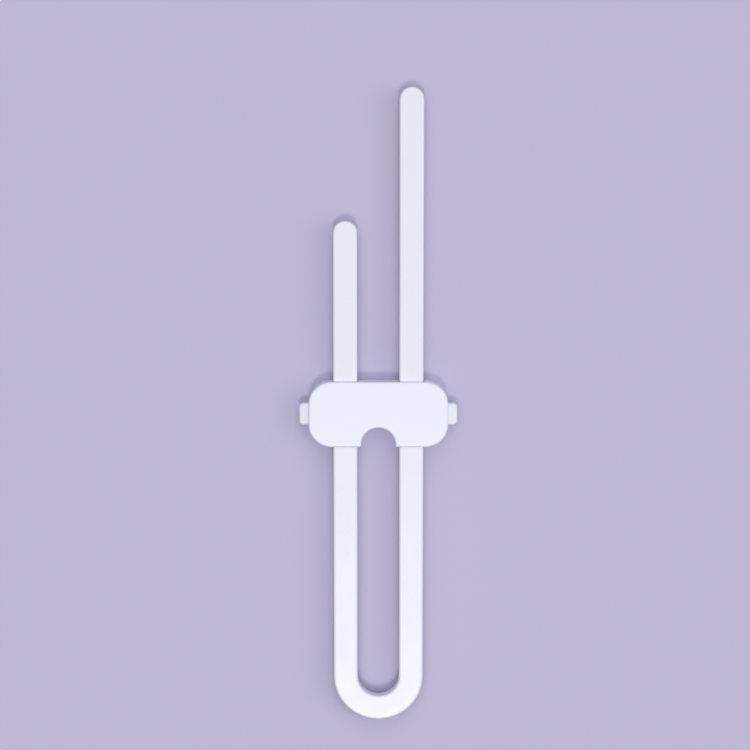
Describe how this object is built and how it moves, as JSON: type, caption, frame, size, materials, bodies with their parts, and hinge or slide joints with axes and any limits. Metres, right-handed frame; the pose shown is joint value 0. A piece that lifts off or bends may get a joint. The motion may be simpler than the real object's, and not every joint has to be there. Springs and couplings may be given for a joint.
{
  "type": "cabinet safety lock",
  "caption": "Sliding lock for cabinet knobs or handles: a catch runs along a U-shaped bar and is let go by squeezing the buttons at its ends.",
  "frame": {"origin": "under the middle of the whole lock, in the plane of the catch's back face, with the lock lying on that face", "axes": "+X towards the long arm, +Y along the arms from the bend to the long arm's tip, +Z out of the front"},
  "size_m": [0.072, 0.29, 0.0105],
  "materials": {
    "bar_plastic": "satin white moulding",
    "catch_plastic": "satin white moulding",
    "button_plastic": "satin white moulding",
    "spring_steel": "bright drawn wire",
    "screw_steel": "zinc plated"
  },
  "bodies": {
    "bar": {"bar": "bar_plastic"},
    "catch": {"front_cover": "catch_plastic", "back_cover": "catch_plastic", "cover_screws": "screw_steel", "left_spring": "spring_steel", "right_spring": "spring_steel"},
    "left_button": {"left_button": "button_plastic"},
    "right_button": {"right_button": "button_plastic"}
  },
  "joints": [
    {"name": "catch_slide", "type": "slide", "parent": "bar", "child": "catch", "axis": [0, 1, 0], "range_m": [-0.105, 0.12]},
    {"name": "left_button_press", "type": "slide", "parent": "catch", "child": "left_button", "axis": [1, 0, 0], "range_m": [0, 0.0025], "stiffness_N_per_m": 800, "springref_m": -0.002, "deforming": ["left_spring"]},
    {"name": "right_button_press", "type": "slide", "parent": "catch", "child": "right_button", "axis": [-1, 0, 0], "range_m": [0, 0.0025], "stiffness_N_per_m": 800, "springref_m": -0.002, "deforming": ["right_spring"]}
  ]
}
